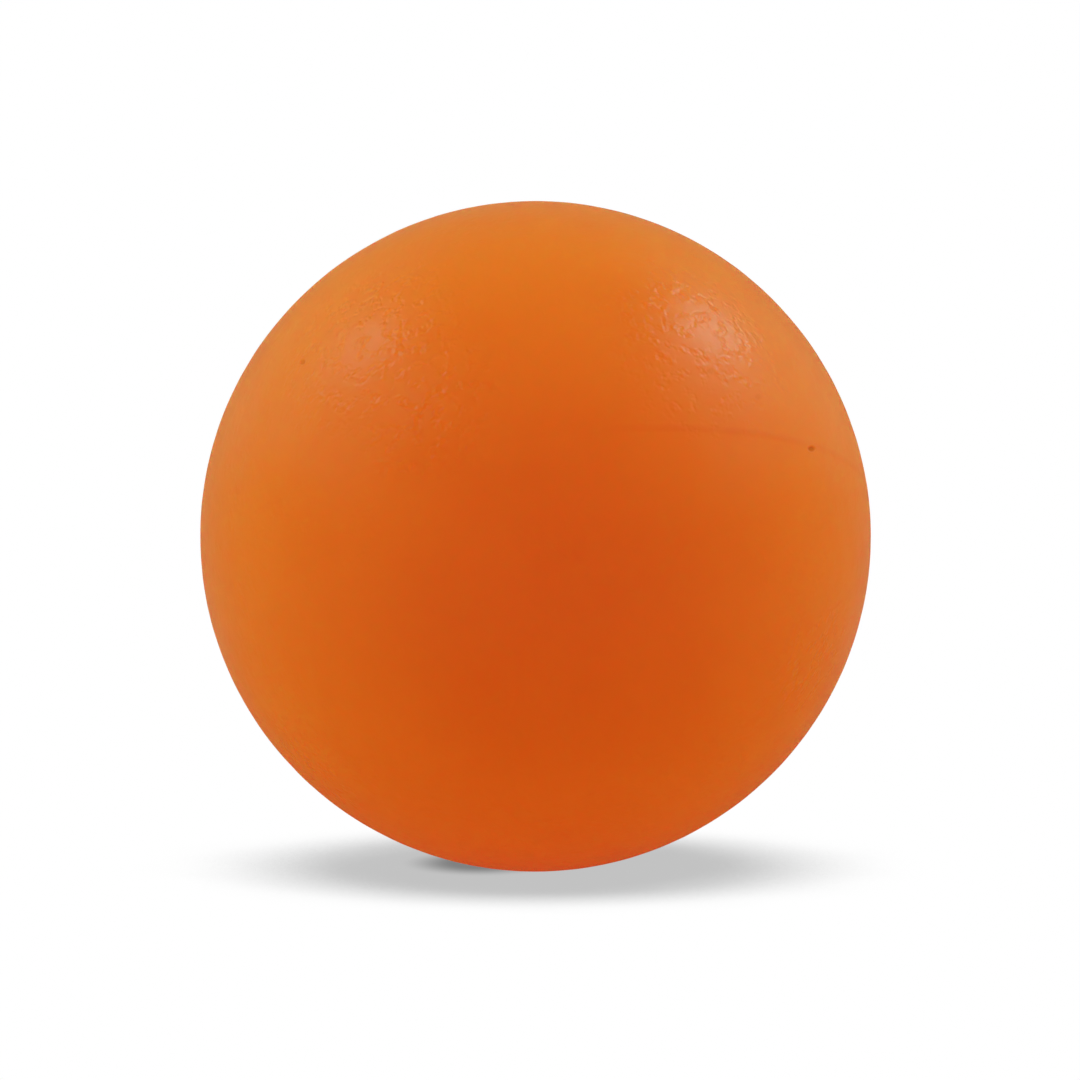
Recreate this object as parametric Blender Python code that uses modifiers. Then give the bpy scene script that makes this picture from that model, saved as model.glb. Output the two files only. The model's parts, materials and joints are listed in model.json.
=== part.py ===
"""A foosball ball: a solid core, keyed into two cover halves that are welded along the ball's seam.

Units are metres, +Z is up and the origin is the ball's centre. Every piece is turned about its own Z axis
with the seam level, and an empty at the ball's centre then tips all of them to the way the ball lies.
"""

import math

import bmesh
import bpy
from mathutils import Matrix, Vector

# Driving dimensions
BALL_DIAMETER = 0.036
COVER_WALL = 0.006  # from the ball's surface to the hollow that holds the core
COLLAR_REACH = 0.002  # how far the core's collar stands out of the core's sphere
COLLAR_THICKNESS = 0.002
COLLAR_EDGE = 0.0003  # chamfer round the collar's rim
TONGUE_WIDTH = 0.0014  # weld tongue on the lower half, at its root
TONGUE_HEIGHT = 0.0016
TONGUE_LEAD = 0.0002  # chamfer on the tongue's tip
TONGUE_DRAFT = math.radians(3)
KEY_COUNT = 3  # keys in the lower half, which stop the core from turning in the cover
KEY_WIDTH = 0.002
KEY_REACH = 0.0014  # from the wall of the collar's recess inwards
KEY_ROOT = 0.0005  # how deep a key is let into the wall and the floor that carry it
SEAM_CHAMFER = 0.00012  # makes the fine line that runs round the ball
FIT_GAP = 0.0003  # between pieces that seat in each other
WELD_GAP = 0.00005  # between the two flat weld faces

# How the ball lies: the top of the upper half leans back and a little to the left
LIE_TILT = math.radians(-24.1)
LIE_ROLL = math.radians(-7.8)

# Smoothness of the turned shapes
TURN_STEPS = 64
OUTER_ARC_STEPS = 16
INNER_ARC_STEPS = 9
MERGE_DISTANCE = 1e-6
SHARP_EDGE = math.radians(30)

# Radii and heights that follow from the driving dimensions, with the seam at height 0
BALL_RADIUS = BALL_DIAMETER / 2
HOLLOW_RADIUS = BALL_RADIUS - COVER_WALL
CORE_RADIUS = HOLLOW_RADIUS - FIT_GAP
COLLAR_RADIUS = CORE_RADIUS + COLLAR_REACH
RECESS_RADIUS = COLLAR_RADIUS + FIT_GAP
RECESS_DEPTH = COLLAR_THICKNESS / 2 + FIT_GAP
WELD_FACE = WELD_GAP / 2
TONGUE_CENTRE = (RECESS_RADIUS + BALL_RADIUS) / 2
TONGUE_TIP = TONGUE_HEIGHT - WELD_FACE
GROOVE_FLOOR = TONGUE_TIP + FIT_GAP

COVER_COLOUR = (0.63, 0.16, 0.01, 1.0)
CORE_COLOUR = (0.5, 0.1, 0.008, 1.0)
COVER_ROUGHNESS = 0.4
CORE_ROUGHNESS = 0.6


def clear_scene():
    for obj in list(bpy.data.objects):
        bpy.data.objects.remove(obj, do_unlink=True)


def new_collection(name):
    collection = bpy.data.collections.new(name)
    bpy.context.scene.collection.children.link(collection)
    return collection


def plastic(name, colour, roughness):
    material = bpy.data.materials.new(name)
    material.use_nodes = True
    shader = material.node_tree.nodes["Principled BSDF"]
    shader.inputs["Base Color"].default_value = colour
    shader.inputs["Roughness"].default_value = roughness
    shader.inputs["Metallic"].default_value = 0.0
    return material


def arc(radius, start, end, steps):
    """Points (radius from the axis, height) on a circle about the ball's centre, from one latitude to another."""
    latitudes = [start + (end - start) * i / steps for i in range(steps + 1)]
    return [(radius * math.cos(a), radius * math.sin(a)) for a in latitudes]


def latitude_at(height, radius):
    return math.asin(height / radius)


def on_axis(point):
    """A pole of a turned shape, set exactly on the axis so that its ring closes to one point."""
    return (0.0, point[1])


def tongue_half_width(height):
    """Half the tongue's width at a height above its root, with the draft that lets it leave its mould."""
    return TONGUE_WIDTH / 2 - height * math.tan(TONGUE_DRAFT)


def tongue_outline():
    """Cross-section of the weld tongue, from its inner root over the tip to its outer root."""
    shoulder = TONGUE_HEIGHT - TONGUE_LEAD
    inner = [
        (TONGUE_CENTRE - tongue_half_width(0), -WELD_FACE),
        (TONGUE_CENTRE - tongue_half_width(shoulder), TONGUE_TIP - TONGUE_LEAD),
        (TONGUE_CENTRE - tongue_half_width(TONGUE_HEIGHT) + TONGUE_LEAD, TONGUE_TIP),
    ]
    outer = [(2 * TONGUE_CENTRE - x, z) for x, z in reversed(inner)]
    return inner + outer


def groove_outline():
    """Cross-section of the groove that takes the tongue, from its outer mouth over the floor to its inner mouth."""
    outer = [
        (TONGUE_CENTRE + tongue_half_width(0) + FIT_GAP, WELD_FACE),
        (TONGUE_CENTRE + tongue_half_width(TONGUE_HEIGHT) + FIT_GAP, GROOVE_FLOOR),
    ]
    inner = [(2 * TONGUE_CENTRE - x, z) for x, z in reversed(outer)]
    return outer + inner


def upper_half_profile():
    """Down the outside from the pole, in along the weld face, and up the hollow to its own pole."""
    outside = arc(
        BALL_RADIUS, math.pi / 2, latitude_at(WELD_FACE + SEAM_CHAMFER, BALL_RADIUS), OUTER_ARC_STEPS
    )
    hollow = arc(
        HOLLOW_RADIUS, latitude_at(RECESS_DEPTH, HOLLOW_RADIUS), math.pi / 2, INNER_ARC_STEPS
    )
    outside[0] = on_axis(outside[0])
    hollow[-1] = on_axis(hollow[-1])
    weld_face = [(BALL_RADIUS - SEAM_CHAMFER, WELD_FACE), *groove_outline(), (RECESS_RADIUS, WELD_FACE)]
    return [*outside, *weld_face, (RECESS_RADIUS, RECESS_DEPTH), *hollow]


def lower_half_profile():
    """Up the hollow from its pole, out along the weld face, and down the outside to the ball's pole."""
    hollow = arc(
        HOLLOW_RADIUS, -math.pi / 2, -latitude_at(RECESS_DEPTH, HOLLOW_RADIUS), INNER_ARC_STEPS
    )
    outside = arc(
        BALL_RADIUS, -latitude_at(WELD_FACE + SEAM_CHAMFER, BALL_RADIUS), -math.pi / 2, OUTER_ARC_STEPS
    )
    hollow[0] = on_axis(hollow[0])
    outside[-1] = on_axis(outside[-1])
    weld_face = [(RECESS_RADIUS, -WELD_FACE), *tongue_outline(), (BALL_RADIUS - SEAM_CHAMFER, -WELD_FACE)]
    return [*hollow, (RECESS_RADIUS, -RECESS_DEPTH), *weld_face, *outside]


def core_profile():
    """The core's sphere from pole to pole, with the collar round its middle."""
    half = COLLAR_THICKNESS / 2
    collar_latitude = latitude_at(half, CORE_RADIUS)
    top = arc(CORE_RADIUS, math.pi / 2, collar_latitude, INNER_ARC_STEPS)
    top[0] = on_axis(top[0])
    rim = [(COLLAR_RADIUS - COLLAR_EDGE, half), (COLLAR_RADIUS, half - COLLAR_EDGE)]
    upper = top + rim
    return upper + [(x, -z) for x, z in reversed(upper)]


def turned(name, profile, material, collection, centre):
    """A solid of revolution about Z from a profile that runs down its outer side."""
    outline = bpy.data.meshes.new(name + "_profile")
    edges = [(i, i + 1) for i in range(len(profile) - 1)]
    outline.from_pydata([(x, 0.0, z) for x, z in profile], edges, [])
    turning = bpy.data.objects.new(name + "_profile", outline)
    collection.objects.link(turning)
    screw = turning.modifiers.new("turn", "SCREW")
    screw.axis = "Z"
    screw.angle = 2 * math.pi
    screw.steps = screw.render_steps = TURN_STEPS
    screw.use_merge_vertices = True
    screw.merge_threshold = MERGE_DISTANCE
    bpy.context.view_layer.update()
    mesh = bpy.data.meshes.new_from_object(turning.evaluated_get(bpy.context.evaluated_depsgraph_get()))
    bpy.data.objects.remove(turning, do_unlink=True)
    mesh.name = name
    mesh.shade_smooth()
    mesh.set_sharp_from_angle(angle=SHARP_EDGE)
    mesh.materials.append(material)
    piece = bpy.data.objects.new(name, mesh)
    piece.parent = centre
    collection.objects.link(piece)
    return piece


def block(name, low, high, turn, collection, centre):
    """A helper box between two corners, swung about the ball's own axis by an angle. It isn't a piece itself."""
    size = Vector(high) - Vector(low)
    middle = (Vector(high) + Vector(low)) / 2
    shape = bmesh.new()
    bmesh.ops.create_cube(shape, size=1.0, matrix=Matrix.Translation(middle) @ Matrix.Diagonal((*size, 1.0)))
    mesh = bpy.data.meshes.new(name)
    shape.to_mesh(mesh)
    shape.free()
    helper = bpy.data.objects.new(name, mesh)
    helper.parent = centre
    helper.rotation_euler.z = turn
    helper.hide_render = True
    helper.display_type = "WIRE"
    collection.objects.link(helper)
    return helper


def add_boolean(piece, helper, operation):
    boolean = piece.modifiers.new(helper.name, "BOOLEAN")
    boolean.operation = operation
    boolean.solver = "EXACT"
    boolean.object = helper


def add_keys(lower_half, core, collection, centre):
    """Keys that stand in the lower half's recess, and a notch in the core's collar for each of them."""
    half_width = KEY_WIDTH / 2
    key_face = RECESS_RADIUS - KEY_REACH
    key_low = (key_face, -half_width, -RECESS_DEPTH - KEY_ROOT)
    key_high = (RECESS_RADIUS + KEY_ROOT, half_width, -WELD_FACE - FIT_GAP)
    notch_low = (key_face - FIT_GAP, -half_width - FIT_GAP, -COLLAR_THICKNESS)
    notch_high = (COLLAR_RADIUS + COLLAR_REACH, half_width + FIT_GAP, COLLAR_THICKNESS)
    for i in range(KEY_COUNT):
        turn = 2 * math.pi * i / KEY_COUNT
        key = block(f"key_{i + 1}", key_low, key_high, turn, collection, centre)
        notch = block(f"notch_{i + 1}", notch_low, notch_high, turn, collection, centre)
        add_boolean(lower_half, key, "UNION")
        add_boolean(core, notch, "DIFFERENCE")


def main():
    clear_scene()
    pieces = new_collection("foosball_ball")
    cutters = new_collection("cutters")
    centre = bpy.data.objects.new("ball_centre", None)
    centre.rotation_euler = (LIE_TILT, LIE_ROLL, 0.0)
    pieces.objects.link(centre)

    upper_plastic = plastic("upper_half_plastic", COVER_COLOUR, COVER_ROUGHNESS)
    lower_plastic = plastic("lower_half_plastic", COVER_COLOUR, COVER_ROUGHNESS)
    core_plastic = plastic("core_plastic", CORE_COLOUR, CORE_ROUGHNESS)

    turned("upper_half_shell", upper_half_profile(), upper_plastic, pieces, centre)
    lower_half = turned("lower_half_shell", lower_half_profile(), lower_plastic, pieces, centre)
    core = turned("core", core_profile(), core_plastic, pieces, centre)
    add_keys(lower_half, core, cutters, centre)


main()
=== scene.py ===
"""A foosball ball as it lies on a bright table: the welded orange cover with its seam, round the core.

The cover is one closed skin, because its two halves are welded and light passes from one into the other.
Units are metres, +Z is up and the origin is the ball's centre. A place on the ball is an azimuth and a
latitude in degrees, measured from its seam before the ball is tipped to the way it lies.
"""

import json
import math

import bmesh
import bpy
from mathutils import Euler, Matrix, Quaternion, Vector

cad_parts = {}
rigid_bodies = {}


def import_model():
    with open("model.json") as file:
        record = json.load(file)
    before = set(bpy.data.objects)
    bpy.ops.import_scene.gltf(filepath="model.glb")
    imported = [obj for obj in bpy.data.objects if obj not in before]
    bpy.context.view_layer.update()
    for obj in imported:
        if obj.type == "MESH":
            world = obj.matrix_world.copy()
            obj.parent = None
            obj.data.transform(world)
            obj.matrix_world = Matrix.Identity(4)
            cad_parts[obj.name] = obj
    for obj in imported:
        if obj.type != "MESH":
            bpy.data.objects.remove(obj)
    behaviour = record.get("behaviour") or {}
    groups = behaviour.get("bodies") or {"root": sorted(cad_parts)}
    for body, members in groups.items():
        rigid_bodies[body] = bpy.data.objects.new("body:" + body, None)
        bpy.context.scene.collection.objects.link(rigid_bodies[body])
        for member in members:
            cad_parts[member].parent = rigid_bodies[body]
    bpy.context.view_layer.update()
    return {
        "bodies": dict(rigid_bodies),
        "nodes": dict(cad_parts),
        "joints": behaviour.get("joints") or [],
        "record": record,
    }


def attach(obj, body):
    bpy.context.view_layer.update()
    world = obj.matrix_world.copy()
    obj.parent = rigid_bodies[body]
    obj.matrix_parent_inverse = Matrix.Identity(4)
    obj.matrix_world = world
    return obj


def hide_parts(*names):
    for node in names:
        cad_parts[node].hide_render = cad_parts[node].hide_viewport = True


# The ball, and how it lies: the top of the upper half leans back and a little to the left
BALL_RADIUS = 0.018
LIE = Euler((math.radians(-24.1), math.radians(-7.8), 0.0))

# The cover's mesh: a band round the seam between two caps, with the seam level
COVER_SIZES = {
    "Ball Radius": BALL_RADIUS,
    "Side Count": 120,  # faces along a quarter of the band, and along each side of a cap
    "Cap Latitude": math.radians(35.26),
    "Band Rows": 120,
    "Seam Rows Share": 0.2,  # share of the band's rows that stand close together at the seam
    "Seam Band": 0.0008,  # half the height that those rows cover
    "Row Crowding": 1.3,
    "Bead Width": 0.0002,  # the low bead of plastic that the weld left along the seam
    "Bead Height": 0.000009,
    "Seam Patch Size": 0.006,
    "Clear Azimuth": math.radians(-51.0),  # middle of the stretch where the seam shows clearly
    "Clear Reach": math.radians(17.0),
    "Rubbed Azimuth": math.radians(-125.0),  # middle of the stretch where play has rubbed it flat
    "Rubbed Reach": math.radians(50.0),
    "Fade": math.radians(5.0),
    "Wave Size": 0.0035,
    "Wave Height": 0.000006,
    "Peel Size": 0.0012,  # the soft orange peel that moulding leaves
    "Peel Height": 0.000014,
    "Ding Density": 26000.0,  # dings on a square metre
    "Ding Radius": 0.0007,
    "Ding Depth": 0.000010,
    "Seed": 7,
    "Lie": tuple(LIE),
}
SOCKET_KINDS = {float: "NodeSocketFloat", int: "NodeSocketInt", tuple: "NodeSocketVector"}
WAVE_DETAIL = 0.0
PEEL_DETAIL = 1.0
GRID_SPAN = 2.0  # side of a plain grid, whose places then run from -1 to 1
MERGE_DISTANCE = 1e-6
STRAIGHT_CORNER = math.radians(160.0)  # a face with a corner this flat is cut into triangles
PATCHY_SEAM = (0.2, 0.75)  # how strongly the seam shows where it is neither clear nor rubbed
SEAM_PATCH_EDGE = (0.4, 0.62)  # noise at which a faint patch of it ends, and a plain one starts
SEAM_PATCH_DETAIL = 1.0
RUBBED_AWAY = 0.8  # share of the seam that is gone where it is rubbed
SMALLEST_DING = 0.4  # as a share of the largest

# Marks on the cover: azimuth, latitude, half length, half width, turn of the length from the seam's
# direction, darkness, depth of the dent and height of the stub in it
MARKS = {
    "gate_stub": (-32.55, -0.58, 0.00036, 0.00016, 15.0, 0.36, 0.000030, 0.000025),
    "nick": (-130.9, 24.6, 0.00026, 0.00015, -41.0, 0.24, 0.000025, 0.0),
    "first_speck": (-44.6, 6.85, 0.00028, 0.00018, 29.0, 0.10, 0.0, 0.0),
    "second_speck": (-53.7, 10.8, 0.00025, 0.00018, 38.0, 0.10, 0.0, 0.0),
    # The third mark is painted shade: the dark side of a small pit beside a glint, drawn as colour with
    # no dent.
    "painted_pit_shade": (-56.4, 21.85, 0.00020, 0.00013, 48.0, 0.08, 0.0, 0.0),
}
MARK_ROUGHNESS = 1.2  # how much rougher the darkest mark would be
MARK_TINT = 0.9  # how far its gloss would take its own brown
DENT_RIM_RISE = 0.3  # height of the rim pushed up round a dent, as a share of the dent's depth

# How far the parts of a mark reach from its middle, in half lengths
MARK_REACH = 2.4
MARK_REFINEMENTS = (4.6, 3.2, 2.4)  # the mesh is refined step by step, each time closer
MARK_FADE = (0.5, 1.3)  # where its colour starts to fade and where it ends
STUB_REACH = 0.45
DENT_RIM_PLACE = 1.35
DENT_RIM_WIDTH = 0.35

# The plastic's colours
ORANGE_PALE = (0.588, 0.182, 0.0092, 1.0)
ORANGE_DEEP = (0.568, 0.172, 0.0083, 1.0)
SPECK_BROWN = (0.18, 0.045, 0.001, 1.0)
SEAM_BROWN = (0.50, 0.10, 0.002, 1.0)
SEAM_DIRT_AND_SHADE = 0.26  # how far the seam takes its brown: dirt in the joint, and painted shade of the weld line
SEAM_DIRT_AND_SHADE_SPREAD = (0.00005, 0.00032)  # from the seam's middle to where the brown ends
CORE_PALE = (0.54, 0.11, 0.008, 1.0)
CORE_DEEP = (0.46, 0.09, 0.007, 1.0)

# The peened grain of the cover's skin: an irregular crinkle with small pits
GRAIN_SIZE = 0.00042
GRAIN_DETAIL = 1.0
GRAIN_RELIEF = 0.00011
GRAIN_MIDDLE = 0.5  # the crinkle's mean height
PIT_SPREAD = (0.10, 0.50)  # from a pit's floor to its rim, in grains
PIT_DRAW = (0.4, 0.9)  # pits whose draw is below the first have no depth, above the second full depth
PIT_BEND = 0.9  # how far the pits are bent out of round, in grains
PIT_BEND_SCALE = 0.6  # bends in a grain's width
PIT_SHARE = 0.15  # depth of the deepest pit beside the crinkle's height

# Soft clouds in the cover's colour and satin
CLOUD_SIZE = 0.006
CLOUD_DETAIL = 3.0
CLOUD_EDGE = (0.3, 0.7)  # noise at which a cloud starts, and at which it is full
COVER_ROUGHNESS = (0.285, 0.335)  # outside the clouds and in them

# Patches of the cover that play has peened most: azimuth, latitude, radius, strength
SCUFFS = (
    (-54.5, 17.0, 0.0080, 0.78),
    (-116.0, 24.0, 0.0075, 1.1),
    (-104.5, 9.5, 0.0060, 1.3),
    (-20.0, -35.0, 0.0045, 1.0),
    (-172.0, -40.0, 0.0045, 1.0),
    (15.0, 30.0, 0.0050, 1.0),
    (70.0, -10.0, 0.0055, 1.0),
    (115.0, 40.0, 0.0050, 1.0),
    (165.0, 5.0, 0.0045, 1.0),
    (-80.0, 75.0, 0.0040, 1.0),
    (100.0, -60.0, 0.0050, 1.0),
)
SCUFF_LEAST = 0.14  # grain outside the patches
SCUFF_CORE = 0.3  # share of a patch's radius in which it is at full strength
SCUFF_SPOT_SIZE = 0.0007  # a patch is peened in spots
SCUFF_SPOT_EDGE = (0.38, 0.62)  # noise at which a spot starts, and at which it is full
SCUFF_SPOTS = (0.1, 1.1)  # grain between the spots and in them

# How far red, green and blue light travel in the cover's plastic, and how strong its gloss is
LIGHT_REACH = (0.4, 0.07, 0.03)
LIGHT_REACH_SCALE = 0.5
COVER_GLOSS = 0.3

# The core's plastic
CORE_CLOUD_SIZE = 0.004
CORE_GRAIN_SIZE = 0.0005
CORE_GRAIN_RANGE = (0.2, 0.7)
CORE_ROUGHNESS = (0.65, 0.5)  # at the low and at the high end of that range
CORE_BUMP = 0.4
CORE_RELIEF = 0.00005
CORE_GLOSS = 0.3

# The camera
CAMERA_ELEVATION = math.radians(7.5)
CAMERA_DISTANCE = 0.45
CAMERA_ANGLE = math.radians(7.378)
CAMERA_NUDGE = Vector((0.00024, 0.0, -0.0002))

# Lamps: azimuth from the camera's side, elevation, width, height and level. A level of 1 lights a white
# card that faces the lamp to 1. The walls light the plastic's body, and the lamps and sheens are what its
# gloss shows. These are low in red, because the ball's highlights gain green and blue but little red.
LAMP_DISTANCE = 0.4
WALL_COLOUR = (1.0, 1.0, 1.0)
LAMP_COLOUR = (0.3, 1.0, 1.0)
WALLS = {
    "left_wall": (-100.0, 18.0, 0.34, 0.34, 0.80),
    "right_wall": (104.0, 18.0, 0.34, 0.34, 0.60),
    "right_back_wall": (122.0, 38.0, 0.30, 0.30, 0.235),
    "front_wall": (-8.0, 58.0, 0.36, 0.26, 0.294),
    "top_wall": (0.0, 85.0, 0.30, 0.30, 0.245),
}
LAMPS = {
    "left_sheen": (-90.0, 34.0, 0.40, 0.28, 0.079),
    "left_back_sheen": (-131.0, 28.0, 0.26, 0.36, 0.027),
    "left_lamp": (-104.5, 46.5, 0.10, 0.10, 0.056),
    "left_small_lamp": (-56.0, 47.0, 0.05, 0.05, 0.012),
    "right_sheen": (97.0, 34.0, 0.40, 0.28, 0.070),
    "right_back_sheen": (134.0, 27.0, 0.24, 0.34, 0.031),
    "right_glow": (101.0, 41.5, 0.18, 0.18, 0.048),
    "right_lamp": (121.0, 43.5, 0.06, 0.07, 0.062),
    "right_small_lamp": (104.0, 49.0, 0.10, 0.10, 0.026),
}

# The table and the room: what the camera sees of them, what the cover mirrors, and the light they give
TABLE_RADIUS = 0.05
TABLE_SEGMENTS = 96
TABLE_GLOW_NEAR = (0.79, 0.37, 0.38, 1.0)  # under the ball, where its own light tints the table
TABLE_GLOW_FAR = (0.66, 0.66, 0.66, 1.0)
TABLE_GLOW_REACH = 0.030
TABLE_MIRRORED_NEAR = (0.44, 0.045, 0.04, 1.0)
TABLE_MIRRORED_FAR = (0.54, 0.16, 0.14, 1.0)
SHADOW_LEVEL = 0.54  # how bright the table shows in the ball's shadow
SHADOW_OPENNESS = (0.36, 0.65)  # how open to the room the table is where its shadow starts and ends
SHADOW_LEAN = 34.0  # how much more the room's front opens the shadow, for each metre towards the camera
CONTACT_LEVEL = 0.22  # how bright it shows where the shadow is deepest
CONTACT_PLACE = (-0.0030, 0.0012, -BALL_RADIUS)  # a little left of where the ball touches the table
CONTACT_REACH = (0.0014, 0.0044)  # how far from there it stays deepest, and where it is even again
ROOM_WHITE = (1.0, 1.0, 1.0, 1.0)
ROOM_LIGHT = (0.14, 0.14, 0.14, 1.0)
ROOM_MIRRORED = (0.54, 0.22, 0.18, 1.0)


class Wiring:
    """Adds nodes to a tree, and feeds their inputs with plain values or with other nodes' outputs."""

    def __init__(self, tree):
        self.tree = tree

    def feed(self, socket, value):
        if isinstance(value, bpy.types.NodeSocket):
            self.tree.links.new(value, socket)
        else:
            socket.default_value = value

    def node(self, kind, inputs=None, **settings):
        made = self.tree.nodes.new(kind)
        for name, value in settings.items():
            setattr(made, name, value)
        for name, value in (inputs or {}).items():
            socket = next(s for s in made.inputs if s.enabled and s.name == name)
            self.feed(socket, value)
        return made

    def math(self, operation, *values, clamp=False):
        made = self.node("ShaderNodeMath", operation=operation, use_clamp=clamp)
        for socket, value in zip(made.inputs, values):
            self.feed(socket, value)
        return made.outputs["Value"]

    def vector(self, operation, *values):
        made = self.node("ShaderNodeVectorMath", operation=operation)
        for socket, value in zip(made.inputs, values):
            self.feed(socket, value)
        return next(s for s in made.outputs if s.enabled)

    def scaled(self, vector, factor):
        made = self.node("ShaderNodeVectorMath", {"Vector": vector, "Scale": factor}, operation="SCALE")
        return made.outputs["Vector"]

    def split(self, vector):
        made = self.node("ShaderNodeSeparateXYZ", {"Vector": vector})
        return made.outputs["X"], made.outputs["Y"], made.outputs["Z"]

    def joined(self, x, y, z):
        return self.node("ShaderNodeCombineXYZ", {"X": x, "Y": y, "Z": z}).outputs["Vector"]

    def ramp(self, value, low, high, start=0.0, end=1.0, smooth=True):
        """Runs from start to end while the value runs from low to high, and stays there."""
        inputs = {"Value": value, "From Min": low, "From Max": high, "To Min": start, "To Max": end}
        kind = "SMOOTHSTEP" if smooth else "LINEAR"
        return self.node("ShaderNodeMapRange", inputs, interpolation_type=kind).outputs["Result"]

    def bell(self, value, middle, width):
        """1 where the value is at the middle, falling off on both sides of it."""
        offset = self.math("DIVIDE", self.math("SUBTRACT", value, middle), width)
        return self.math("EXPONENT", self.math("MULTIPLY", self.math("MULTIPLY", offset, offset), -1.0))

    def noise(self, place, size, detail=0.0):
        """Soft noise whose bumps are about the given size across."""
        scale = self.math("DIVIDE", 1.0, size) if isinstance(size, bpy.types.NodeSocket) else 1.0 / size
        inputs = {"Vector": place, "Scale": scale, "Detail": detail}
        return self.node("ShaderNodeTexNoise", inputs).outputs["Fac"]

    def swirl(self, place, scale):
        """A soft noise vector round 0, for bending a pattern."""
        inputs = {"Vector": place, "Scale": scale, "Detail": 1.0}
        drawn = self.node("ShaderNodeTexNoise", inputs).outputs["Color"]
        return self.vector("SUBTRACT", drawn, (0.5, 0.5, 0.5))

    def blend(self, factor, first, second):
        """From the first colour to the second as the factor goes from 0 to 1."""
        made = self.node("ShaderNodeMix", data_type="RGBA")
        for name, value in (("Factor", factor), ("A", first), ("B", second)):
            self.feed(next(s for s in made.inputs if s.enabled and s.name == name), value)
        return next(s for s in made.outputs if s.enabled)


def on_ball(azimuth, latitude):
    """A place on the ball's surface before it is tipped, from degrees."""
    east, north = math.radians(azimuth), math.radians(latitude)
    level = math.cos(north)
    return Vector((level * math.cos(east), level * math.sin(east), math.sin(north))) * BALL_RADIUS


def seam_band(w, size):
    """The cover's middle: a grid wrapped round the ball, with rows that crowd towards the seam."""
    across = w.math("ADD", w.math("MULTIPLY", size["Side Count"], 4.0), 1.0)
    rows = w.math("ADD", size["Band Rows"], 1.0)
    inputs = {"Size X": GRID_SPAN, "Size Y": GRID_SPAN, "Vertices X": across, "Vertices Y": rows}
    grid = w.node("GeometryNodeMeshGrid", inputs)
    x, y, _ = w.split(w.node("GeometryNodeInputPosition").outputs["Position"])
    azimuth = w.math("MULTIPLY", x, math.pi)
    step = w.math("ABSOLUTE", y)
    seam_latitude = w.math("DIVIDE", size["Seam Band"], size["Ball Radius"])
    close = w.ramp(step, 0.0, size["Seam Rows Share"], smooth=False)
    crowded = w.math("POWER", close, size["Row Crowding"])
    close_rows = w.math("MULTIPLY", crowded, seam_latitude)
    wide = w.math("SUBTRACT", size["Cap Latitude"], seam_latitude)
    wide_rows = w.ramp(step, size["Seam Rows Share"], 1.0, 0.0, wide, smooth=False)
    latitude = w.math("MULTIPLY", w.math("ADD", close_rows, wide_rows), w.math("SIGN", y))
    level = w.math("COSINE", latitude)
    place = w.joined(
        w.math("MULTIPLY", level, w.math("COSINE", azimuth)),
        w.math("MULTIPLY", level, w.math("SINE", azimuth)),
        w.math("SINE", latitude),
    )
    inputs = {"Geometry": grid.outputs["Mesh"], "Position": w.scaled(place, size["Ball Radius"])}
    return w.node("GeometryNodeSetPosition", inputs).outputs["Geometry"]


def upper_cap(w, size):
    """The cover's top: a square grid drawn out to a round cap, so that no point of it is a pole."""
    side = w.math("ADD", size["Side Count"], 1.0)
    inputs = {"Size X": GRID_SPAN, "Size Y": GRID_SPAN, "Vertices X": side, "Vertices Y": side}
    grid = w.node("GeometryNodeMeshGrid", inputs)
    x, y, _ = w.split(w.node("GeometryNodeInputPosition").outputs["Position"])
    wide = w.math("GREATER_THAN", w.math("ABSOLUTE", x), w.math("ABSOLUTE", y))
    flat = w.math("SUBTRACT", 1.0, wide)
    reach = w.math("ADD", w.math("MULTIPLY", x, wide), w.math("MULTIPLY", y, flat))
    wide_turn = w.math("MULTIPLY", w.math("DIVIDE", y, x), math.pi / 4)
    flat_turn = w.math("SUBTRACT", math.pi / 2, w.math("MULTIPLY", w.math("DIVIDE", x, y), math.pi / 4))
    turn = w.math("ADD", w.math("MULTIPLY", wide_turn, wide), w.math("MULTIPLY", flat_turn, flat))
    tip = w.math("MULTIPLY", reach, w.math("SUBTRACT", math.pi / 2, size["Cap Latitude"]))
    level = w.math("SINE", tip)
    place = w.joined(
        w.math("MULTIPLY", level, w.math("COSINE", turn)),
        w.math("MULTIPLY", level, w.math("SINE", turn)),
        w.math("COSINE", tip),
    )
    inputs = {"Geometry": grid.outputs["Mesh"], "Position": w.scaled(place, size["Ball Radius"])}
    return w.node("GeometryNodeSetPosition", inputs).outputs["Geometry"]


def closed_ball(w, size):
    """The band and both caps, merged to one closed skin."""
    cap = upper_cap(w, size)
    inputs = {"Geometry": cap, "Scale": (1.0, 1.0, -1.0)}
    mirrored = w.node("GeometryNodeTransform", inputs).outputs["Geometry"]
    lower = w.node("GeometryNodeFlipFaces", {"Mesh": mirrored}).outputs["Mesh"]
    join = w.node("GeometryNodeJoinGeometry")
    for part in (lower, cap, seam_band(w, size)):
        w.tree.links.new(part, join.inputs["Geometry"])
    inputs = {"Geometry": join.outputs["Geometry"], "Distance": MERGE_DISTANCE}
    return w.node("GeometryNodeMergeByDistance", inputs).outputs["Geometry"]


def stretch(w, size, azimuth, middle, reach):
    """1 on the stretch of the seam round an azimuth, fading out at its ends."""
    facing = w.math("COSINE", w.math("SUBTRACT", azimuth, middle))
    outside = w.math("COSINE", w.math("ADD", reach, size["Fade"]))
    inside = w.math("COSINE", w.math("SUBTRACT", reach, size["Fade"]))
    return w.ramp(facing, outside, inside)


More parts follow.
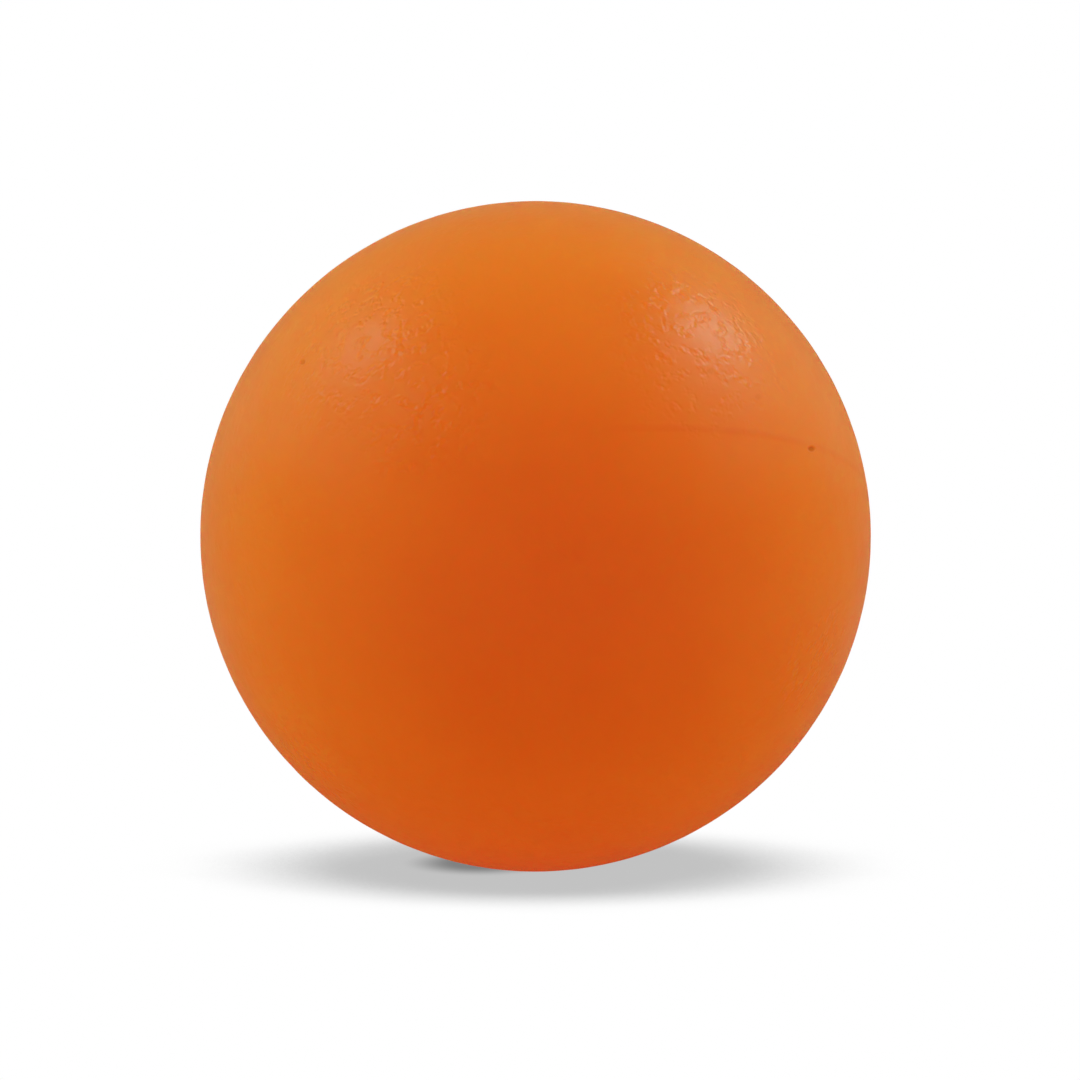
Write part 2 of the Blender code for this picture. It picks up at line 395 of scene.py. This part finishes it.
def seam_wear(w, size, place):
    """How strongly the seam shows along its way round the ball."""
    x, y, _ = w.split(place)
    azimuth = w.math("ARCTAN2", y, x)
    clear = stretch(w, size, azimuth, size["Clear Azimuth"], size["Clear Reach"])
    rubbed = stretch(w, size, azimuth, size["Rubbed Azimuth"], size["Rubbed Reach"])
    drawn = w.noise(place, size["Seam Patch Size"], SEAM_PATCH_DETAIL)
    patches = w.ramp(drawn, *SEAM_PATCH_EDGE, *PATCHY_SEAM)
    kept = w.math("MULTIPLY", patches, w.math("SUBTRACT", 1.0, w.math("MULTIPLY", rubbed, RUBBED_AWAY)))
    return w.math("MAXIMUM", clear, kept)


def seam_relief(w, size, place, wear):
    """The low bead along the weld."""
    bead = w.bell(w.split(place)[2], 0.0, size["Bead Width"])
    return w.math("MULTIPLY", w.math("MULTIPLY", bead, size["Bead Height"]), wear)


def ripple(w, place, size, height, detail):
    """Soft bumps and hollows, up to a height above and below the round."""
    swing = w.math("SUBTRACT", w.math("MULTIPLY", w.noise(place, size, detail), 2.0), 1.0)
    return w.math("MULTIPLY", swing, height)


def ding_relief(w, size, ball, place):
    """Shallow round dents from play, strewn over the ball."""
    inputs = {"Mesh": ball, "Density": size["Ding Density"], "Seed": size["Seed"]}
    points = w.node("GeometryNodeDistributePointsOnFaces", inputs).outputs["Points"]
    inputs = {"Geometry": points, "Sample Position": place}
    nearest = w.node("GeometryNodeSampleNearest", inputs, domain="POINT")
    centre = w.node(
        "GeometryNodeSampleIndex",
        {
            "Geometry": points,
            "Value": w.node("GeometryNodeInputPosition").outputs["Position"],
            "Index": nearest.outputs["Index"],
        },
        data_type="FLOAT_VECTOR",
        domain="POINT",
    )
    draw = w.node(
        "FunctionNodeRandomValue",
        {"Min": SMALLEST_DING, "Max": 1.0, "ID": nearest.outputs["Index"], "Seed": size["Seed"]},
        data_type="FLOAT",
    )
    share = next(s for s in draw.outputs if s.enabled)
    distance = w.vector("DISTANCE", place, next(s for s in centre.outputs if s.enabled))
    reach = w.math("DIVIDE", distance, w.math("MULTIPLY", size["Ding Radius"], share))
    bowl = w.math("SUBTRACT", 1.0, w.math("MULTIPLY", reach, reach), clamp=True)
    depth = w.math("MULTIPLY", size["Ding Depth"], share)
    return w.math("MULTIPLY", w.math("MULTIPLY", bowl, bowl), w.math("MULTIPLY", depth, -1.0))


def cover_tree():
    """Geometry Nodes for the welded cover."""
    tree = bpy.data.node_groups.new("welded_cover", "GeometryNodeTree")
    tree.is_modifier = True
    for name, value in COVER_SIZES.items():
        tree.interface.new_socket(name, in_out="INPUT", socket_type=SOCKET_KINDS[type(value)])
    tree.interface.new_socket("Plastic", in_out="INPUT", socket_type="NodeSocketMaterial")
    tree.interface.new_socket("Geometry", in_out="OUTPUT", socket_type="NodeSocketGeometry")
    w = Wiring(tree)
    size = w.node("NodeGroupInput").outputs
    ball = closed_ball(w, size)
    place = w.node("GeometryNodeInputPosition").outputs["Position"]
    wear = seam_wear(w, size, place)
    kept = w.node(
        "GeometryNodeStoreNamedAttribute",
        {"Geometry": ball, "Name": "seam_wear", "Value": wear},
        data_type="FLOAT",
        domain="POINT",
    )
    offset = seam_relief(w, size, place, wear)
    offset = w.math("ADD", offset, ripple(w, place, size["Wave Size"], size["Wave Height"], WAVE_DETAIL))
    offset = w.math("ADD", offset, ripple(w, place, size["Peel Size"], size["Peel Height"], PEEL_DETAIL))
    offset = w.math("ADD", offset, ding_relief(w, size, ball, place))
    outward = w.vector("NORMALIZE", place)
    inputs = {"Geometry": kept.outputs["Geometry"], "Offset": w.scaled(outward, offset)}
    shaped = w.node("GeometryNodeSetPosition", inputs).outputs["Geometry"]
    inputs = {"Geometry": shaped, "Rotation": size["Lie"]}
    tipped = w.node("GeometryNodeTransform", inputs).outputs["Geometry"]
    smooth = w.node("GeometryNodeSetShadeSmooth", {"Geometry": tipped}).outputs["Geometry"]
    real = w.node("GeometryNodeRealizeInstances", {"Geometry": smooth}).outputs["Geometry"]
    dressed = w.node("GeometryNodeSetMaterial", {"Geometry": real, "Material": size["Plastic"]})
    w.node("NodeGroupOutput", {"Geometry": dressed.outputs["Geometry"]})
    return tree


def grown(name, tree, values):
    """An object with the plain mesh that a tree makes from its named values."""
    empty_mesh = bpy.data.meshes.new(name + "_start")
    piece = bpy.data.objects.new(name, empty_mesh)
    bpy.context.scene.collection.objects.link(piece)
    modifier = piece.modifiers.new(name, "NODES")
    modifier.node_group = tree
    for item in tree.interface.items_tree:
        if item.in_out == "INPUT":
            modifier[item.identifier] = values[item.name]
    mesh = bpy.data.meshes.new_from_object(piece.evaluated_get(bpy.context.evaluated_depsgraph_get()))
    mesh.name = name
    piece.modifiers.clear()
    piece.data = mesh
    bpy.data.meshes.remove(empty_mesh)
    return piece


def mark_frame(azimuth, latitude, half_length, half_width, turn):
    """A mark's own frame before the ball is tipped, in which its rim is 1 away from its middle."""
    middle = on_ball(azimuth, latitude)
    outward = middle.normalized()
    east = Vector((0.0, 0.0, 1.0)).cross(outward).normalized()
    along = Quaternion(outward, math.radians(turn)) @ east
    axes = Matrix((along, outward.cross(along), outward)).transposed()
    return Matrix.LocRotScale(middle, axes, Vector((half_length, half_width, half_length)))


def press_mark(shape, frame, depth, stub):
    """Refines the mesh at one mark and presses a dent into it, with a stub in its middle."""
    tipped = LIE.to_matrix().to_4x4() @ frame
    to_mark = tipped.inverted()
    outward = tipped.translation.normalized()
    for limit in MARK_REFINEMENTS:
        near = [e for e in shape.edges if all((to_mark @ v.co).length < limit for v in e.verts)]
        bmesh.ops.subdivide_edges(shape, edges=near, cuts=1, use_grid_fill=True)
    for vert in shape.verts:
        reach = (to_mark @ vert.co).length
        if reach < MARK_REACH:
            bowl = math.exp(-(reach ** 4))
            pip = math.exp(-((reach / STUB_REACH) ** 2))
            rim = DENT_RIM_RISE * math.exp(-(((reach - DENT_RIM_PLACE) / DENT_RIM_WIDTH) ** 2))
            vert.co += outward * (stub * pip + depth * (rim - bowl))


def make_cover(plastic):
    """The welded cover with its marks pressed in, and with no face that is too flat at a corner."""
    cover = grown("welded_cover", cover_tree(), {**COVER_SIZES, "Plastic": plastic})
    shape = bmesh.new()
    shape.from_mesh(cover.data)
    for *place, _, depth, stub in MARKS.values():
        if depth:
            press_mark(shape, mark_frame(*place), depth, stub)
    flat = [f for f in shape.faces if max(corner.calc_angle() for corner in f.loops) > STRAIGHT_CORNER]
    bmesh.ops.triangulate(shape, faces=flat, quad_method="SHORT_EDGE", ngon_method="BEAUTY")
    shape.to_mesh(cover.data)
    shape.free()
    return cover


def moulded_skin_group():
    """What moulding and play leave in plastic: soft clouds of colour, and a finely peened grain."""
    tree = bpy.data.node_groups.new("moulded_skin", "ShaderNodeTree")
    tree.interface.new_socket("Place", in_out="INPUT", socket_type="NodeSocketVector")
    tree.interface.new_socket("Cloud Size", in_out="INPUT", socket_type="NodeSocketFloat")
    tree.interface.new_socket("Grain Size", in_out="INPUT", socket_type="NodeSocketFloat")
    tree.interface.new_socket("Cloud", in_out="OUTPUT", socket_type="NodeSocketFloat")
    tree.interface.new_socket("Grain", in_out="OUTPUT", socket_type="NodeSocketFloat")
    w = Wiring(tree)
    given = w.node("NodeGroupInput").outputs
    place, grain_size = given["Place"], given["Grain Size"]
    cloud = w.ramp(w.noise(place, given["Cloud Size"], CLOUD_DETAIL), *CLOUD_EDGE)
    crinkle = w.noise(place, grain_size, GRAIN_DETAIL)
    bend = w.math("MULTIPLY", grain_size, PIT_BEND)
    swirl = w.swirl(place, w.math("DIVIDE", PIT_BEND_SCALE, grain_size))
    bent = w.vector("ADD", place, w.scaled(swirl, bend))
    cells = w.node("ShaderNodeTexVoronoi", {"Vector": bent, "Scale": w.math("DIVIDE", 1.0, grain_size)})
    depth = w.ramp(w.split(cells.outputs["Color"])[0], *PIT_DRAW, 0.0, PIT_SHARE)
    pits = w.math("MULTIPLY", w.ramp(cells.outputs["Distance"], *PIT_SPREAD, 1.0, 0.0), depth)
    grain = w.math("SUBTRACT", crinkle, pits)
    w.node("NodeGroupOutput", {"Cloud": cloud, "Grain": grain})
    return tree


def plastic_start(name):
    """A new material's wiring, its shader, and places on the ball with the seam level."""
    material = bpy.data.materials.new(name)
    material.use_nodes = True
    w = Wiring(material.node_tree)
    place = w.node("ShaderNodeTexCoord").outputs["Object"]
    level = w.node("ShaderNodeMapping", {"Vector": place, "Rotation": tuple(LIE)}, vector_type="TEXTURE")
    return material, w, material.node_tree.nodes["Principled BSDF"], level.outputs["Vector"]


def moulded_skin(w, group, place, cloud_size, grain_size):
    """The clouds and the grain of one piece's skin."""
    inputs = {"Place": place, "Cloud Size": cloud_size, "Grain Size": grain_size}
    made = w.node("ShaderNodeGroup", node_tree=group)
    for name, value in inputs.items():
        w.feed(made.inputs[name], value)
    return made.outputs["Cloud"], made.outputs["Grain"]


def mark_mask(w, place):
    """Where the marks on the cover are, and how dark."""
    mask = 0.0
    for *mark, darkness, _, _ in MARKS.values():
        middle, turn, size = mark_frame(*mark).decompose()
        inputs = {"Vector": place, "Location": middle, "Rotation": turn.to_euler(), "Scale": size}
        near = w.node("ShaderNodeMapping", inputs, vector_type="TEXTURE").outputs["Vector"]
        mask = w.math("MAXIMUM", mask, w.ramp(w.vector("LENGTH", near), *MARK_FADE, darkness, 0.0))
    return mask


def scuff_mask(w, place):
    """How strongly the skin is peened: most in the middle of the scuffed patches."""
    mask = SCUFF_LEAST
    for azimuth, latitude, radius, strength in SCUFFS:
        distance = w.vector("DISTANCE", place, on_ball(azimuth, latitude))
        mask = w.math("MAXIMUM", mask, w.ramp(distance, radius * SCUFF_CORE, radius, strength, 0.0))
    spots = w.ramp(w.noise(place, SCUFF_SPOT_SIZE), *SCUFF_SPOT_EDGE, *SCUFF_SPOTS)
    return w.math("MULTIPLY", mask, spots)


def cover_plastic(skin_group):
    """Translucent orange plastic with a satin skin, a seam browned by dirt and painted shade, and the
    marks.
    """
    material, w, shader, place = plastic_start("cover_plastic")
    cloud, grain = moulded_skin(w, skin_group, place, CLOUD_SIZE, GRAIN_SIZE)
    colour = w.blend(cloud, ORANGE_DEEP, ORANGE_PALE)
    height = w.math("ABSOLUTE", w.split(place)[2])
    wear = w.node("ShaderNodeAttribute", attribute_name="seam_wear").outputs["Fac"]
    # Darker along the seam: partly dirt in the joint, partly painted shade of the weld line.
    seam_dirt_and_shade = w.math("MULTIPLY", w.ramp(height, *SEAM_DIRT_AND_SHADE_SPREAD, SEAM_DIRT_AND_SHADE, 0.0), wear)
    colour = w.blend(seam_dirt_and_shade, colour, SEAM_BROWN)
    marks = mark_mask(w, place)
    w.feed(shader.inputs["Base Color"], w.blend(marks, colour, SPECK_BROWN))
    satin = w.ramp(cloud, 0.0, 1.0, *COVER_ROUGHNESS)
    w.feed(shader.inputs["Roughness"], w.math("ADD", satin, w.math("MULTIPLY", marks, MARK_ROUGHNESS)))
    w.feed(shader.inputs["Metallic"], w.math("MULTIPLY", marks, MARK_TINT))
    peened = w.math("MULTIPLY", w.math("SUBTRACT", grain, GRAIN_MIDDLE), scuff_mask(w, place))
    bump = w.node("ShaderNodeBump", {"Strength": 1.0, "Distance": GRAIN_RELIEF, "Height": peened})
    w.feed(shader.inputs["Normal"], bump.outputs["Normal"])
    shader.inputs["Subsurface Weight"].default_value = 1.0
    shader.inputs["Subsurface Radius"].default_value = LIGHT_REACH
    shader.inputs["Subsurface Scale"].default_value = LIGHT_REACH_SCALE
    shader.inputs["Specular IOR Level"].default_value = COVER_GLOSS
    return material


def core_plastic(skin_group):
    """Plain moulded plastic, a little deeper in colour than the cover."""
    material, w, shader, place = plastic_start("core_plastic")
    cloud, grain = moulded_skin(w, skin_group, place, CORE_CLOUD_SIZE, CORE_GRAIN_SIZE)
    w.feed(shader.inputs["Base Color"], w.blend(cloud, CORE_DEEP, CORE_PALE))
    w.feed(shader.inputs["Roughness"], w.ramp(grain, *CORE_GRAIN_RANGE, *CORE_ROUGHNESS))
    bump = w.node("ShaderNodeBump", {"Strength": CORE_BUMP, "Distance": CORE_RELIEF, "Height": grain})
    w.feed(shader.inputs["Normal"], bump.outputs["Normal"])
    shader.inputs["Specular IOR Level"].default_value = CORE_GLOSS
    return material


def towards(azimuth, elevation):
    """Direction from the ball, with azimuth 0 on the camera's side and 90 to its right, in degrees."""
    east, up = math.radians(azimuth), math.radians(elevation)
    return Vector((math.sin(east) * math.cos(up), -math.cos(east) * math.cos(up), math.sin(up)))


def add_lamp(name, azimuth, elevation, width, height, level, mirrored):
    """A soft panel of light that either lights the body of the plastic or shows in its gloss."""
    lamp = bpy.data.lights.new(name, "AREA")
    lamp.shape = "RECTANGLE"
    lamp.size = width
    lamp.size_y = height
    lamp.energy = level * (math.pi * LAMP_DISTANCE) ** 2
    lamp.color = LAMP_COLOUR if mirrored else WALL_COLOUR
    holder = bpy.data.objects.new(name, lamp)
    direction = towards(azimuth, elevation)
    holder.location = direction * LAMP_DISTANCE
    holder.rotation_euler = (-direction).to_track_quat("-Z", "Y").to_euler()
    holder.visible_glossy = mirrored
    holder.visible_diffuse = not mirrored
    bpy.context.scene.collection.objects.link(holder)


def seen_level(w, shown, mirrored, light):
    """What the camera sees, what gloss mirrors, and what lights the ball."""
    rays = w.node("ShaderNodeLightPath").outputs
    plain = w.math("ADD", rays["Is Camera Ray"], rays["Is Transmission Ray"])
    return w.blend(plain, w.blend(rays["Is Glossy Ray"], light, mirrored), shown)


def table_material():
    """A white table with the ball's soft shadow on it, which glows up at the ball."""
    material = bpy.data.materials.new("table_white")
    material.use_nodes = True
    material.cycles.emission_sampling = "NONE"
    tree = material.node_tree
    tree.nodes.remove(tree.nodes["Principled BSDF"])
    w = Wiring(tree)
    place = w.node("ShaderNodeTexCoord").outputs["Object"]
    reach = w.vector("LENGTH", w.vector("MULTIPLY", place, (1.0, 1.0, 0.0)))
    lean = w.joined(0.0, w.math("MULTIPLY", w.split(place)[1], SHADOW_LEAN), 1.0)
    inputs = {"Distance": TABLE_RADIUS, "Normal": w.vector("NORMALIZE", lean)}
    open_share = w.node("ShaderNodeAmbientOcclusion", inputs).outputs["AO"]
    from_contact = w.vector("DISTANCE", place, CONTACT_PLACE)
    contact = w.ramp(from_contact, *CONTACT_REACH, CONTACT_LEVEL, SHADOW_LEVEL)
    edge = w.ramp(open_share, *SHADOW_OPENNESS, 0.0, 1.0 - SHADOW_LEVEL, smooth=False)
    shown = w.math("ADD", contact, edge)
    mirrored = w.blend(w.ramp(reach, 0.0, TABLE_RADIUS), TABLE_MIRRORED_NEAR, TABLE_MIRRORED_FAR)
    glow = w.blend(w.ramp(reach, 0.0, TABLE_GLOW_REACH), TABLE_GLOW_NEAR, TABLE_GLOW_FAR)
    white = w.node("ShaderNodeEmission", {"Color": seen_level(w, shown, mirrored, glow)})
    w.feed(tree.nodes["Material Output"].inputs["Surface"], white.outputs["Emission"])
    return material


def make_table():
    """A round of table that the ball lies on."""
    shape = bmesh.new()
    bmesh.ops.create_circle(shape, cap_ends=True, segments=TABLE_SEGMENTS, radius=TABLE_RADIUS)
    bmesh.ops.translate(shape, verts=shape.verts, vec=(0.0, 0.0, -BALL_RADIUS))
    mesh = bpy.data.meshes.new("table")
    shape.to_mesh(mesh)
    shape.free()
    mesh.materials.append(table_material())
    table = bpy.data.objects.new("table", mesh)
    bpy.context.scene.collection.objects.link(table)
    return table


def make_room():
    """Surroundings that are white for the camera, and that the cover mirrors weakly."""
    world = bpy.data.worlds.new("room")
    world.use_nodes = True
    world.cycles.sampling_method = "NONE"
    bpy.context.scene.world = world
    w = Wiring(world.node_tree)
    background = world.node_tree.nodes["Background"]
    w.feed(background.inputs["Color"], seen_level(w, ROOM_WHITE, ROOM_MIRRORED, ROOM_LIGHT))
    background.inputs["Strength"].default_value = 1.0


def make_camera():
    """A camera with a long lens, a little above the ball's middle."""
    lens = bpy.data.cameras.new("camera")
    lens.angle = CAMERA_ANGLE
    camera = bpy.data.objects.new("camera", lens)
    direction = towards(0.0, math.degrees(CAMERA_ELEVATION))
    camera.location = direction * CAMERA_DISTANCE + CAMERA_NUDGE
    camera.rotation_euler = (-direction).to_track_quat("-Z", "Y").to_euler()
    bpy.context.scene.collection.objects.link(camera)
    bpy.context.scene.camera = camera


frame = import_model()
bpy.context.scene.view_settings.view_transform = "Standard"
make_camera()

skin = moulded_skin_group()
cover = make_cover(cover_plastic(skin))
core = frame["nodes"]["core"]
core.data.materials.clear()
core.data.materials.append(core_plastic(skin))

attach(cover, "root")
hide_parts("upper_half_shell", "lower_half_shell")
make_table()
make_room()
for wall_name, wall_values in WALLS.items():
    add_lamp(wall_name, *wall_values, mirrored=False)
for lamp_name, lamp_values in LAMPS.items():
    add_lamp(lamp_name, *lamp_values, mirrored=True)
